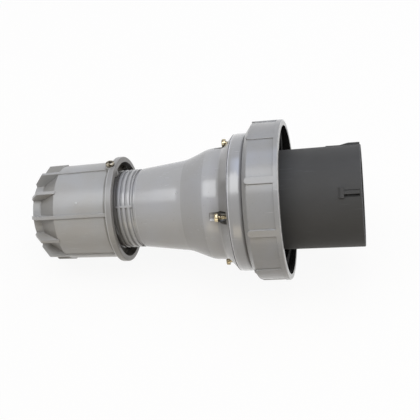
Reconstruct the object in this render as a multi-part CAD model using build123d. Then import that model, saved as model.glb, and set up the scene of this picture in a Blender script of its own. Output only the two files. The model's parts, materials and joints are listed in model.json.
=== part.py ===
from build123d import *
import os
from math import atan2, cos, degrees, radians, sin

# Industrial pin-and-sleeve plug, 125 A class, millimetres.
# Everything is modelled along the X axis: cable entry at x = 0, pins towards +X.
# Turning angles are about X, from +Z at 0 towards -Y at 90.
# Only at the end is the plug tipped over to where it comes to rest on its side.

# Gland nut
NUT_LENGTH = 75.3
NUT_HUB_RADIUS = 29.4
NUT_HUB_LENGTH = 6.8
NUT_POCKET_LENGTH = 22.9
NUT_REAR_RADIUS = 40.4
NUT_FRONT_RADIUS = 41.4
NUT_MOUTH_RADIUS = 23.5
NUT_END_WALL = 13.5
NUT_RIM_RADIUS = 45.3
NUT_RIM_WIDTH = 5.8
NUT_RIM_WALL = 4.5
NUT_RIM_RECESS = 8.4
NUT_RIB_COUNT = 6
NUT_RIB_WIDTH = 2.8
NUT_RIB_HEIGHT = 1.1
NUT_RIB_END_RADIUS = 32.3
NUT_RIB_TURN = 37.0
NUT_RIB_CORNER = 7.6
NUT_RIB_SINK = 2.0
NUT_COUNTERBORE = 5.0
LOCK_BOSS_RADIUS = 4.6
LOCK_BOSS_TOP = 45.6
LOCK_BOSS_SETBACK = 4.8
LOCK_SHANK_RADIUS = 2.0
LOCK_HEAD_RADIUS = 3.7
LOCK_HEAD_HEIGHT = 3.0
LOCK_HEAD_CHAMFER = 0.9

# Thread between nut and housing
THREAD_RADIUS = 33.6
THREAD_PITCH = 4.2
THREAD_DEPTH = 1.6
THREAD_GROOVE_WIDTH = 2.3
THREAD_GROOVE_BOTTOM = 1.1
THREAD_LAND_WIDTH = 1.8
THREAD_LAND_TURN = 28.5
THREAD_CLEARANCE = 0.3
THREAD_TURNS_FREE = 2

# Cable housing
NECK_OVERLAP = 37.8
NECK_EXPOSED = 16.4
NECK_BORE_RADIUS = 27.6
NECK_NOTCH_WIDTH = 2.5
NECK_RELIEF = 0.25
NECK_RUNOUT = 0.6
NECK_THICKENING = 1.5
CONE_LENGTH = 40.1
CONE_END_RADIUS = 38.7
FLARE_LENGTH = 19.2
BARREL_REAR_RADIUS = 46.8
BARREL_FRONT_RADIUS = 47.4
BARREL_LENGTH = 12.9
COLLAR_LENGTH = 9.3
COLLAR_STEP = 2.3
CONE_ROUND = 30.0
FLARE_ROUND = 22.0
COLLAR_ROUND = 3.0
HOUSING_WALL = 3.6
SEAL_SEAT_RADIUS = 23.5
SEAL_SEAT_LENGTH = 4.0

# Cable seal and thrust ring
SEAL_LENGTH = 26.0
CABLE_RADIUS = 20.5
SEAL_TAPER = 3.0
SEAL_TAPER_DEPTH = 1.5
THRUST_RING_LENGTH = 19.0
THRUST_RING_CHAMFER = 2.0
THRUST_RING_BORE_STEP = 1.0

# Front flange
FLANGE_OVERHANG = 6.9
FLANGE_WIDTH = 11.8
FLANGE_ROUND = 3.6
FLANGE_LEAD = 2.8
FLANGE_LEAD_DEPTH = 0.5
SPIGOT_LENGTH = 7.0
RING_NECK_STEP = 7.7
RING_NECK_LENGTH = 4.8
BLOCK_SEAT_DEPTH = 4.0
JOINT_GAP = 0.4
GASKET_WIDTH = 2.4
GASKET_THICKNESS = 1.5

# Flange screws
SCREW_OFFSET = 3.4
SCREW_COUNT = 4
SCREW_TURN = 44.0
SCREW_HEAD_RADIUS = 3.65
SCREW_HEAD_HEIGHT = 3.1
SCREW_SHANK_RADIUS = 1.7
SCREW_HEAD_CHAMFER = 0.7
SCREW_STANDOFFS = (6.9, 10.8, 6.9, 5.0)
SCREW_SHANK_LENGTH = 14.0
SCREW_DEPTH = 9.0
SCREW_POCKET_RADIUS = 5.1
SCREW_POCKET_LENGTH = 15.0
SCREW_POCKET_FLOOR = 1.6

# Locking ring
RING_RIB_RADIUS = 66.5
RING_PANEL_DEPTH = 1.1
RING_WALL = 3.5
RING_LENGTH = 29.0
RING_WEB = 4.0
RING_SHOULDER = 5.5
RING_BAND = 4.2
RING_RIB_COUNT = 10
RING_RIB_WIDTH = 6.2
RING_RIB_OVERHANG = 1.3
RING_RIB_ROUND = 0.5
RING_RIB_TURN = 17.5
RAMP_COUNT = 3
RAMP_ARC = 48.0
RAMP_HEIGHT = 2.4
RAMP_WIDTH = 4.0
RAMP_RISE = 4.0
RAMP_SETBACK = 7.0
RAMP_SLOPE = 0.6

# Pin shroud
SHROUD_LENGTH = 81.8
SHROUD_REAR_RADIUS = 41.15
SHROUD_FRONT_RADIUS = 41.85
SHROUD_WALL = 3.6
SHROUD_BASE_OVERLAP = 4.5
SHROUD_BASE = 4.0
SHROUD_ROUND = 0.8
KEY_LENGTH = 28.6
KEY_WIDTH = 7.0
KEY_HEIGHT = 1.6
KEY_STEP = 0.8
KEY_RAMP_START = 12.0
KEY_RAMP_END = 18.5
KEY_TURN = -58.0
TONGUE_TURN = 27.6
TONGUE_LENGTH = 12.0
TONGUE_WIDTH = 2.7
TONGUE_RISE = 0.5
TONGUE_SETBACK = 1.8
TONGUE_SLOT = 2.3
TONGUE_SLOT_DEPTH = 2.2
TONGUE_GROOVE = 0.7
TONGUE_GROOVE_DEPTH = 0.5
HOOK_LENGTH = 5.4
HOOK_WIDTH = 8.6
HOOK_RISE = 0.9
FACE_SEAL_THICKNESS = 4.0
FACE_SEAL_MARGIN = 0.6
FACE_SEAL_CHAMFER = 1.0

# Contact block and contacts
BLOCK_RADIUS = 37.2
BLOCK_FLANGE_RADIUS = 39.4
BLOCK_REAR = 8.0
BLOCK_FRONT = 23.5
PIN_CIRCLE_RADIUS = 22.5
EARTH_FROM_KEY = -120.0
PHASE_PIN_RADIUS = 5.0
EARTH_PIN_RADIUS = 6.0
PILOT_PIN_RADIUS = 3.0
PHASE_PIN_REACH = 48.0
EARTH_PIN_REACH = 53.0
PILOT_PIN_REACH = 38.0
PIN_SHANK_STEP = 1.0
PIN_POINT = 0.3
BARREL_TERMINAL_RADIUS = 9.5
PILOT_TERMINAL_RADIUS = 5.5
TERMINAL_LENGTH = 28.0
TERMINAL_WALL = 3.0
TERMINAL_FLOOR = 4.0
TERMINAL_SCREW_PLACES = (0.35, 0.72)
TERMINAL_SCREW_RADIUS = 3.0
TERMINAL_SCREW_PROUD = 1.5
PILOT_SCREW_RADIUS = 1.5
BASE_SCREW_RADIUS = 2.0
BASE_SCREW_HEAD_RADIUS = 3.6
BASE_SCREW_HEAD = 2.4
BASE_SCREW_DEPTH = 8.0
BASE_SCREW_COUNT = 4
BASE_SCREW_SHIFT = 1.0

# Clearances
PART_CLEARANCE = 0.4
SLIDE_CLEARANCE = 0.3
SCREW_CLEARANCE = 0.1
EDGE_ROUND = 1.2

# Radii worked out from the pieces that carry each other
SCREW_CIRCLE_RADIUS = BARREL_FRONT_RADIUS + SCREW_OFFSET
FLANGE_RADIUS = SCREW_CIRCLE_RADIUS + FLANGE_OVERHANG
RING_NECK_RADIUS = FLANGE_RADIUS - RING_NECK_STEP
SHROUD_BASE_RADIUS = RING_NECK_RADIUS + SHROUD_BASE_OVERLAP
RING_PANEL_RADIUS = RING_RIB_RADIUS - RING_PANEL_DEPTH
RING_BORE_RADIUS = RING_PANEL_RADIUS - RING_WALL
FACE_SEAL_RADIUS = RING_BORE_RADIUS - RAMP_HEIGHT - FACE_SEAL_MARGIN
BARREL_BORE_RADIUS = BARREL_FRONT_RADIUS - HOUSING_WALL
SPIGOT_RADIUS = BARREL_BORE_RADIUS - SLIDE_CLEARANCE
NUT_BORE_RADIUS = THREAD_RADIUS + THREAD_CLEARANCE
THRUST_RING_RADIUS = NECK_BORE_RADIUS - SLIDE_CLEARANCE
BASE_SCREW_CIRCLE = (BLOCK_RADIUS + RING_NECK_RADIUS) / 2 + BASE_SCREW_SHIFT

# Stations along the axis, each where one piece meets the next
RIM_REAR = NUT_LENGTH - NUT_RIM_WIDTH
NECK_REAR = NUT_LENGTH - NECK_OVERLAP
SHOULDER = NUT_LENGTH + NECK_EXPOSED
CONE_END = SHOULDER + CONE_LENGTH
BARREL_REAR = CONE_END + FLARE_LENGTH
COLLAR_REAR = BARREL_REAR + BARREL_LENGTH
HOUSING_FACE = COLLAR_REAR + COLLAR_LENGTH
FLANGE_REAR = HOUSING_FACE + JOINT_GAP
FLANGE_FRONT = FLANGE_REAR + FLANGE_WIDTH
RING_REAR = FLANGE_FRONT + PART_CLEARANCE
RING_FRONT = RING_REAR + RING_LENGTH
SHROUD_REAR = FLANGE_FRONT + RING_NECK_LENGTH
SHROUD_FACE = SHROUD_REAR + SHROUD_BASE
SHROUD_FRONT = SHROUD_FACE + SHROUD_LENGTH
BLOCK_STEP = FLANGE_REAR + BLOCK_SEAT_DEPTH
BLOCK_FACE = SHROUD_FACE + BLOCK_FRONT
BLOCK_BACK = BLOCK_STEP - BLOCK_REAR
LOCK_SCREW_X = NUT_LENGTH - LOCK_BOSS_SETBACK
SCREW_SEAT = HOUSING_FACE - SCREW_POCKET_FLOOR

# The nut has two turns left to tighten. The thrust ring then reaches the seal, which lies in its seat
GLAND_TRAVEL = THREAD_TURNS_FREE * THREAD_PITCH
THRUST_RING_REAR = NUT_END_WALL + SLIDE_CLEARANCE
THRUST_RING_END = THRUST_RING_REAR + THRUST_RING_LENGTH
SEAL_REAR = THRUST_RING_END + GLAND_TRAVEL + SLIDE_CLEARANCE
SEAL_SEAT_X = SEAL_REAR + SEAL_LENGTH + SLIDE_CLEARANCE

# The lock screw's boss stands one rib before the long rib; the earth contact's hour counts from the key
LOCK_TURN = NUT_RIB_TURN - 360.0 / NUT_RIB_COUNT
EARTH_TURN = KEY_TURN + EARTH_FROM_KEY

# The plug lies on the nut's rim and on the rear edge of the locking ring, both rounded alike.
RING_REST = RING_REAR + RING_WEB
REST_TILT = degrees(atan2(RING_PANEL_RADIUS - NUT_RIM_RADIUS, RING_REST - RIM_REAR))


def turned(points, rounds=()):
    """A solid of revolution about X from (x, radius) corners; rounds holds (corner, radius)."""
    outline = make_face(Polyline(*points, close=True))
    for place, radius in rounds:
        corner = min(outline.vertices(), key=lambda v: (Vector(v) - Vector(*place)).length)
        outline = fillet(corner, radius)
    return revolve(Plane.XZ * outline, Axis.X)


def rod(radius, start, end, y=0.0, z=0.0):
    """A round bar along X."""
    length = end - start
    return Pos((start + end) / 2, y, z) * Cylinder(radius, length, rotation=(0, 90, 0))


def block(start, end, width, low, high):
    """A box along X, width across Y, from height low to height high above the axis."""
    return Pos((start + end) / 2, 0, (low + high) / 2) * Box(end - start, width, high - low)


def turn(shape, angle):
    """The shape turned about X by angle degrees."""
    return Rot(X=angle) * shape


def around(shape, count, first=0.0):
    """Copies of the shape, evenly spaced about X."""
    return [turn(shape, first + 360.0 * i / count) for i in range(count)]


def helical_bar(base_radius, top_radius, base_width, top_width, start, turns):
    """A bar of trapezoid section wound round X, from x = start, with the thread's pitch."""
    path = Helix(THREAD_PITCH, THREAD_PITCH * turns, base_radius, direction=(1, 0, 0))
    begin = path @ 0
    spoke = Vector(0, begin.Y, begin.Z).normalized()
    section = Plane(origin=begin, x_dir=(1, 0, 0), z_dir=path % 0)
    outward = 1.0 if section.y_dir.dot(spoke) > 0 else -1.0
    rise = (top_radius - base_radius) * outward
    corners = [(-base_width / 2, 0), (base_width / 2, 0), (top_width / 2, rise), (-top_width / 2, rise)]
    bar = sweep(section * make_face(Polyline(*corners, close=True)), path, is_frenet=True)
    return Pos(start, 0, 0) * bar


def thread_groove():
    """The cutter for the housing's thread, interrupted at the two parting lands."""
    turns = (SHOULDER - NECK_NOTCH_WIDTH - NECK_REAR) / THREAD_PITCH
    widening = (THREAD_GROOVE_WIDTH - THREAD_GROOVE_BOTTOM) / THREAD_DEPTH
    groove = helical_bar(
        THREAD_RADIUS - THREAD_DEPTH,
        THREAD_RADIUS + NECK_RUNOUT,
        THREAD_GROOVE_BOTTOM,
        THREAD_GROOVE_WIDTH + widening * NECK_RUNOUT,
        NECK_REAR,
        turns,
    )
    reach = THREAD_RADIUS + THREAD_PITCH
    land = block(NECK_REAR - THREAD_PITCH, SHOULDER + THREAD_PITCH, THREAD_LAND_WIDTH, -reach, reach)
    return groove - turn(land, THREAD_LAND_TURN)


def screw_pocket():
    """The open pocket and trough round one exposed flange screw, at turning angle 0."""
    start = SCREW_SEAT - SCREW_POCKET_LENGTH
    trough = rod(SCREW_POCKET_RADIUS, start, SCREW_SEAT, z=SCREW_CIRCLE_RADIUS)
    mouth = block(start, SCREW_SEAT, 2 * SCREW_POCKET_RADIUS, SCREW_CIRCLE_RADIUS,
                  FLANGE_RADIUS + SCREW_POCKET_RADIUS)
    return trough + mouth


def cable_housing():
    """The rear housing: threaded neck, cone, barrel and the collar that takes the screws."""
    notch_radius = THREAD_RADIUS - THREAD_DEPTH - NECK_RELIEF
    outer = [
        (NECK_REAR, notch_radius),
        (NECK_REAR + THREAD_DEPTH + NECK_RELIEF, THREAD_RADIUS),
        (SHOULDER - NECK_NOTCH_WIDTH, THREAD_RADIUS),
        (SHOULDER - NECK_NOTCH_WIDTH, notch_radius),
        (SHOULDER - NECK_RUNOUT, notch_radius),
        (SHOULDER, THREAD_RADIUS),
        (CONE_END, CONE_END_RADIUS),
        (BARREL_REAR, BARREL_REAR_RADIUS),
        (COLLAR_REAR, BARREL_FRONT_RADIUS),
        (COLLAR_REAR + COLLAR_STEP, BARREL_FRONT_RADIUS + COLLAR_STEP),
        (HOUSING_FACE, FLANGE_RADIUS - PART_CLEARANCE),
    ]
    seat_end = SEAL_SEAT_X + SEAL_SEAT_LENGTH
    inner = [
        (HOUSING_FACE, BARREL_BORE_RADIUS + GASKET_WIDTH),
        (HOUSING_FACE - GASKET_THICKNESS + JOINT_GAP, BARREL_BORE_RADIUS + GASKET_WIDTH),
        (HOUSING_FACE - GASKET_THICKNESS + JOINT_GAP, BARREL_BORE_RADIUS),
        (BARREL_REAR, BARREL_REAR_RADIUS - HOUSING_WALL),
        (CONE_END, CONE_END_RADIUS - HOUSING_WALL),
        (SHOULDER, NECK_BORE_RADIUS + NECK_THICKENING),
        (seat_end, SEAL_SEAT_RADIUS),
        (SEAL_SEAT_X, SEAL_SEAT_RADIUS),
        (SEAL_SEAT_X, NECK_BORE_RADIUS),
        (NECK_REAR, NECK_BORE_RADIUS),
    ]
    rounds = [
        ((CONE_END, CONE_END_RADIUS), CONE_ROUND),
        ((BARREL_REAR, BARREL_REAR_RADIUS), FLARE_ROUND),
        ((COLLAR_REAR, BARREL_FRONT_RADIUS), COLLAR_ROUND),
    ]
    shell = turned(outer + inner, rounds)
    shell -= thread_groove()
    hole = rod(SCREW_SHANK_RADIUS + SCREW_CLEARANCE, COLLAR_REAR, HOUSING_FACE + 1, z=SCREW_CIRCLE_RADIUS)
    shell -= around(screw_pocket() + hole, SCREW_COUNT, SCREW_TURN)
    return shell


def nut_rib(end_x):
    """One rib of the nut, chamfered at the rear, from the rear end to end_x."""
    slope = (NUT_FRONT_RADIUS - NUT_REAR_RADIUS) / (RIM_REAR - NUT_POCKET_LENGTH)
    top = NUT_REAR_RADIUS + NUT_RIB_HEIGHT
    end_top = top + slope * (end_x - NUT_POCKET_LENGTH)
    root = NUT_HUB_RADIUS - NUT_RIB_SINK
    side = [
        (0, root),
        (0, NUT_RIB_END_RADIUS),
        (NUT_RIB_CORNER, top - slope * (NUT_POCKET_LENGTH - NUT_RIB_CORNER)),
        (end_x, end_top),
        (end_x, end_top - NUT_RIB_HEIGHT - NUT_RIB_SINK),
        (NUT_POCKET_LENGTH, NUT_REAR_RADIUS - NUT_RIB_SINK),
        (NUT_HUB_LENGTH, root),
    ]
    face = Plane.XZ * make_face(Polyline(*side, close=True))
    return extrude(face, NUT_RIB_WIDTH / 2, both=True)


def gland_nut():
    """The ribbed cap nut with its pocketed rear, rim, recess and lock-screw boss."""
    recess = NUT_LENGTH - NUT_RIM_RECESS
    room = THRUST_RING_RADIUS + THREAD_CLEARANCE
    bore_end = NUT_END_WALL + NUT_COUNTERBORE
    points = [
        (0, NUT_MOUTH_RADIUS),
        (0, NUT_HUB_RADIUS),
        (NUT_HUB_LENGTH, NUT_HUB_RADIUS),
        (NUT_POCKET_LENGTH, NUT_REAR_RADIUS),
        (RIM_REAR, NUT_FRONT_RADIUS),
        (RIM_REAR, NUT_RIM_RADIUS),
        (NUT_LENGTH, NUT_RIM_RADIUS),
        (NUT_LENGTH, NUT_RIM_RADIUS - NUT_RIM_WALL),
        (recess, NUT_RIM_RADIUS - NUT_RIM_WALL),
        (recess, NUT_BORE_RADIUS),
        (bore_end + NUT_BORE_RADIUS - room, NUT_BORE_RADIUS),
        (bore_end, room),
        (NUT_END_WALL, room),
        (NUT_END_WALL, NUT_MOUTH_RADIUS),
    ]
    rounds = [((RIM_REAR, NUT_RIM_RADIUS), EDGE_ROUND), ((NUT_LENGTH, NUT_RIM_RADIUS), EDGE_ROUND)]
    nut = turned(points, rounds)
    half = 180.0 / NUT_RIB_COUNT
    nut += around(nut_rib(RIM_REAR + NUT_RIB_HEIGHT), NUT_RIB_COUNT, NUT_RIB_TURN)
    nut += around(nut_rib(NUT_POCKET_LENGTH + NUT_RIB_HEIGHT), NUT_RIB_COUNT, NUT_RIB_TURN + half)
    boss = post(LOCK_BOSS_RADIUS, NUT_BORE_RADIUS + NUT_RIB_SINK, LOCK_BOSS_TOP)
    hole = post(LOCK_SHANK_RADIUS + SCREW_CLEARANCE, THREAD_RADIUS, LOCK_BOSS_TOP + NUT_RIB_SINK)
    return nut + turn(boss, LOCK_TURN) - turn(hole, LOCK_TURN)


def post(radius, low, high):
    """A round bar that stands on the axis at the lock screw's station, at turning angle 0."""
    return Pos(LOCK_SCREW_X, 0, (low + high) / 2) * Cylinder(radius, high - low)


def nut_lock_screw():
    """The screw that stops the nut on the neck, standing in the nut's boss."""
    shank = post(LOCK_SHANK_RADIUS, NUT_BORE_RADIUS + SCREW_CLEARANCE, LOCK_BOSS_TOP)
    head = post(LOCK_HEAD_RADIUS, LOCK_BOSS_TOP, LOCK_BOSS_TOP + LOCK_HEAD_HEIGHT)
    head = chamfer(head.edges().group_by(Axis.Z)[-1], LOCK_HEAD_CHAMFER)
    return turn(shank + head, LOCK_TURN)


def thrust_ring():
    """The flanged sleeve that the nut pushes against the seal."""
    inner = CABLE_RADIUS + THRUST_RING_BORE_STEP
    return turned([
        (THRUST_RING_REAR, inner),
        (THRUST_RING_REAR, THRUST_RING_RADIUS),
        (THRUST_RING_END, THRUST_RING_RADIUS),
        (THRUST_RING_END, inner + THRUST_RING_CHAMFER),
        (THRUST_RING_END - THRUST_RING_CHAMFER, inner),
    ])


def cable_seal():
    """The rubber gland seal, in its seat in the neck."""
    end = SEAL_REAR + SEAL_LENGTH
    outer = NECK_BORE_RADIUS - SLIDE_CLEARANCE
    return turned([
        (SEAL_REAR, CABLE_RADIUS),
        (SEAL_REAR, outer - SEAL_TAPER_DEPTH),
        (SEAL_REAR + SEAL_TAPER, outer),
        (end, outer),
        (end, CABLE_RADIUS),
    ])


def housing_gasket():
    """The flat rubber ring between housing and front flange."""
    start = FLANGE_REAR - GASKET_THICKNESS
    inner = BARREL_BORE_RADIUS + SCREW_CLEARANCE
    outer = BARREL_BORE_RADIUS + GASKET_WIDTH - SCREW_CLEARANCE
    return turned([(start, inner), (start, outer), (FLANGE_REAR, outer), (FLANGE_REAR, inner)])


def front_flange():
    """The glossy front of the housing, with the neck that the locking ring turns on."""
    bore = BLOCK_RADIUS + SLIDE_CLEARANCE
    seat = BLOCK_FLANGE_RADIUS + SLIDE_CLEARANCE
    points = [
        (FLANGE_REAR - SPIGOT_LENGTH, seat),
        (FLANGE_REAR - SPIGOT_LENGTH, SPIGOT_RADIUS),
        (FLANGE_REAR, SPIGOT_RADIUS),
        (FLANGE_REAR, FLANGE_RADIUS - FLANGE_LEAD_DEPTH),
        (FLANGE_REAR + FLANGE_LEAD, FLANGE_RADIUS),
        (FLANGE_FRONT, FLANGE_RADIUS),
        (FLANGE_FRONT, RING_NECK_RADIUS),
        (SHROUD_REAR, RING_NECK_RADIUS),
        (SHROUD_REAR, bore),
        (BLOCK_STEP, bore),
        (BLOCK_STEP, seat),
    ]
    flange = turned(points, [((FLANGE_FRONT, FLANGE_RADIUS), FLANGE_ROUND)])
    thread = rod(SCREW_SHANK_RADIUS + SCREW_CLEARANCE, FLANGE_REAR - 1, FLANGE_REAR + SCREW_DEPTH,
                 z=SCREW_CIRCLE_RADIUS)
    flange -= around(thread, SCREW_COUNT, SCREW_TURN)
    pilot = rod(BASE_SCREW_RADIUS + SCREW_CLEARANCE, SHROUD_REAR - BASE_SCREW_DEPTH, SHROUD_REAR + 1,
                z=BASE_SCREW_CIRCLE)
    return flange - around(pilot, BASE_SCREW_COUNT)


def flange_screw(standoff):
    """One captive flange screw, its head towards the cable end and standoff short of its seat."""
    start = SCREW_SEAT - standoff
    head = rod(SCREW_HEAD_RADIUS, start - SCREW_HEAD_HEIGHT, start, z=SCREW_CIRCLE_RADIUS)
    head = chamfer(head.edges().group_by(Axis.X)[0], SCREW_HEAD_CHAMFER)
    shank = rod(SCREW_SHANK_RADIUS, start, start + SCREW_SHANK_LENGTH, z=SCREW_CIRCLE_RADIUS)
    return head + shank


def bayonet_ramp():
    """One helical ramp inside the locking ring, at turning angle 0."""
    base = RING_BORE_RADIUS + RAMP_SLOPE
    rise = (base - RING_BORE_RADIUS) + RAMP_HEIGHT
    path = Helix(RAMP_RISE * 360 / RAMP_ARC, RAMP_RISE, base, direction=(1, 0, 0))
    begin = path @ 0
    spoke = Vector(0, begin.Y, begin.Z).normalized()
    section = Plane(origin=begin, x_dir=(1, 0, 0), z_dir=path % 0)
    inward = -1.0 if section.y_dir.dot(spoke) > 0 else 1.0
    corners = [(-RAMP_WIDTH / 2, 0), (RAMP_WIDTH / 2, 0),
               (RAMP_WIDTH / 2 - RAMP_SLOPE, inward * rise), (-RAMP_WIDTH / 2 + RAMP_SLOPE, inward * rise)]
    bar = sweep(section * make_face(Polyline(*corners, close=True)), path, is_frenet=True)
    return Pos(RING_FRONT - RAMP_SETBACK - RAMP_RISE, 0, 0) * bar


def ring_rib():
    """One rib of the locking ring, round at the rear end, at turning angle 0."""
    start = RING_REST - RING_RIB_OVERHANG
    end = RING_FRONT - RING_BAND / 2
    low = RING_PANEL_RADIUS - RING_WALL / 2
    half = RING_RIB_WIDTH / 2
    bar = block(start + half, end, RING_RIB_WIDTH, low, RING_RIB_RADIUS)
    bar += Pos(start + half, 0, (low + RING_RIB_RADIUS) / 2) * Cylinder(half, RING_RIB_RADIUS - low)
    return fillet(bar.faces().sort_by(Axis.Z)[-1].edges(), RING_RIB_ROUND)


def locking_ring():
    """The ribbed bayonet ring that turns on the neck of the front flange."""
    web_front = RING_REAR + RING_WEB
    bore = RING_NECK_RADIUS + SLIDE_CLEARANCE
    points = [
        (RING_REAR, bore),
        (RING_REAR, RING_PANEL_RADIUS - RING_SHOULDER),
        (RING_REST, RING_PANEL_RADIUS),
        (RING_FRONT - RING_BAND, RING_PANEL_RADIUS),
        (RING_FRONT - RING_BAND, RING_RIB_RADIUS),
        (RING_FRONT, RING_RIB_RADIUS),
        (RING_FRONT, RING_BORE_RADIUS),
        (web_front, RING_BORE_RADIUS),
        (web_front, bore),
    ]
    rounds = [((RING_REST, RING_PANEL_RADIUS), EDGE_ROUND), ((RING_FRONT, RING_RIB_RADIUS), EDGE_ROUND)]
    ring = turned(points, rounds)
    ring += around(ring_rib(), RING_RIB_COUNT, RING_RIB_TURN)
    ring += around(bayonet_ramp(), RAMP_COUNT)
    return ring


def shroud_key():
    """The key on the shroud, rising in two ramps towards the front, at turning angle 0."""
    start = SHROUD_FRONT - KEY_LENGTH
    low = SHROUD_REAR_RADIUS - SHROUD_WALL / 2
    step = SHROUD_REAR_RADIUS + KEY_STEP
    top = SHROUD_FRONT_RADIUS + KEY_HEIGHT
    end = SHROUD_FRONT - SHROUD_ROUND
    side = [
        (start, low),
        (start, SHROUD_REAR_RADIUS),
        (start + KEY_STEP, step),
        (start + KEY_RAMP_START, step),
        (start + KEY_RAMP_END, top),
        (end, top),
        (end, low),
    ]
    return extrude(Plane.XZ * make_face(Polyline(*side, close=True)), KEY_WIDTH / 2, both=True)


def shroud_tongue():
    """The raised snap tongue with its cross hook at the rear, at turning angle 0."""
    front = SHROUD_FRONT - TONGUE_SETBACK
    rear = front - TONGUE_LENGTH
    low = SHROUD_REAR_RADIUS - SHROUD_WALL / 2
    tongue = block(rear, front, TONGUE_WIDTH, low, SHROUD_FRONT_RADIUS + TONGUE_RISE)
    crest = SHROUD_FRONT_RADIUS + HOOK_RISE
    side = [(rear - HOOK_LENGTH, low), (rear - HOOK_LENGTH, SHROUD_REAR_RADIUS), (rear - TONGUE_WIDTH, crest),
            (rear, crest), (rear, low)]
    hook = extrude(Plane.XZ * make_face(Polyline(*side, close=True)), HOOK_WIDTH / 2, both=True)
    return tongue + hook


def shroud_tongue_cuts():
    """The deep slot on one side of the tongue and the shallow groove on the other."""
    front = SHROUD_FRONT - TONGUE_SETBACK
    rear = front - TONGUE_LENGTH
    high = SHROUD_FRONT_RADIUS + HOOK_RISE
    sides = ((-1, TONGUE_SLOT, TONGUE_SLOT_DEPTH), (1, TONGUE_GROOVE, TONGUE_GROOVE_DEPTH))
    return [Pos(0, side * (TONGUE_WIDTH + width) / 2, 0)
            * block(rear, front, width, SHROUD_FRONT_RADIUS - depth, high) for side, width, depth in sides]


def pin_shroud():
    """The dark tube round the contacts, with base flange, key and snap tongue."""
    slope = (SHROUD_FRONT_RADIUS - SHROUD_REAR_RADIUS) / SHROUD_LENGTH
    bore = BLOCK_RADIUS + SLIDE_CLEARANCE
    points = [
        (SHROUD_REAR, bore),
        (SHROUD_REAR, SHROUD_BASE_RADIUS),
        (SHROUD_FACE, SHROUD_BASE_RADIUS),
        (SHROUD_FACE, SHROUD_REAR_RADIUS),
        (SHROUD_FRONT, SHROUD_FRONT_RADIUS),
        (SHROUD_FRONT, SHROUD_FRONT_RADIUS - SHROUD_WALL),
        (BLOCK_FACE, SHROUD_REAR_RADIUS - SHROUD_WALL + slope * (BLOCK_FACE - SHROUD_FACE)),
        (BLOCK_FACE, bore),
    ]
    shroud = turned(points, [((SHROUD_FRONT, SHROUD_FRONT_RADIUS), SHROUD_ROUND)])
    shroud += turn(shroud_key(), KEY_TURN)
    shroud += turn(shroud_tongue(), TONGUE_TURN)
    for slot in shroud_tongue_cuts():
        shroud -= turn(slot, TONGUE_TURN)
    shroud -= around(base_screw_space(), BASE_SCREW_COUNT)
    return shroud


def base_screw_space():
    """The hole and head recess of one shroud screw, at turning angle 0."""
    hole = rod(BASE_SCREW_RADIUS + SCREW_CLEARANCE, SHROUD_REAR - 1, SHROUD_FACE + 1, z=BASE_SCREW_CIRCLE)
    recess = rod(BASE_SCREW_HEAD_RADIUS + SCREW_CLEARANCE, SHROUD_FACE - BASE_SCREW_HEAD - SCREW_CLEARANCE,
                 SHROUD_FACE + 1, z=BASE_SCREW_CIRCLE)
    return hole + recess


def shroud_screws():
    """The screws that hold the shroud, and with it the ring and block, to the flange."""
    shank = rod(BASE_SCREW_RADIUS, SHROUD_REAR - BASE_SCREW_DEPTH + 1, SHROUD_FACE - BASE_SCREW_HEAD,
                z=BASE_SCREW_CIRCLE)
    head = rod(BASE_SCREW_HEAD_RADIUS, SHROUD_FACE - BASE_SCREW_HEAD, SHROUD_FACE - SCREW_CLEARANCE, z=BASE_SCREW_CIRCLE)
    return around(shank + head, BASE_SCREW_COUNT)


def face_seal():
    """The rubber ring round the foot of the shroud, that the socket's rim presses on."""
    inner = SHROUD_REAR_RADIUS + PART_CLEARANCE
    end = SHROUD_FACE + FACE_SEAL_THICKNESS
    return turned([
        (SHROUD_FACE, inner),
        (SHROUD_FACE, FACE_SEAL_RADIUS),
        (end - FACE_SEAL_CHAMFER, FACE_SEAL_RADIUS),
        (end, FACE_SEAL_RADIUS - FACE_SEAL_CHAMFER),
        (end, inner),
    ])


def contact_places():
    """Node name, radius, reach, terminal radius, y, z and turning angle of each contact."""
    places = [("pilot_pin", PILOT_PIN_RADIUS, PILOT_PIN_REACH, PILOT_TERMINAL_RADIUS, 0.0, 0.0, EARTH_TURN)]
    for i, name in enumerate(("earth_pin", "phase_pin_1", "phase_pin_2", "phase_pin_3")):
        angle = EARTH_TURN + 90.0 * i
        radius = EARTH_PIN_RADIUS if name == "earth_pin" else PHASE_PIN_RADIUS
        reach = EARTH_PIN_REACH if name == "earth_pin" else PHASE_PIN_REACH
        y = -PIN_CIRCLE_RADIUS * sin(radians(angle))
        z = PIN_CIRCLE_RADIUS * cos(radians(angle))
        places.append((name, radius, reach, BARREL_TERMINAL_RADIUS, y, z, angle))
    return places


def contact_block():
    """The moulded block that carries the contacts, with a step that seats in the flange."""
    body = turned([
        (BLOCK_BACK, 0),
        (BLOCK_BACK, BLOCK_FLANGE_RADIUS),
        (BLOCK_STEP, BLOCK_FLANGE_RADIUS),
        (BLOCK_STEP, BLOCK_RADIUS),
        (BLOCK_FACE, BLOCK_RADIUS),
        (BLOCK_FACE, 0),
    ])
    for name, radius, reach, terminal, y, z, angle in contact_places():
        body -= rod(radius + PIN_SHANK_STEP + SCREW_CLEARANCE, BLOCK_BACK - 1, BLOCK_FACE + 1, y, z)
    return body


def terminal_screw_stations():
    """Distances behind the block of the clamping screws in a terminal barrel."""
    return [TERMINAL_LENGTH * share for share in TERMINAL_SCREW_PLACES]


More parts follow.
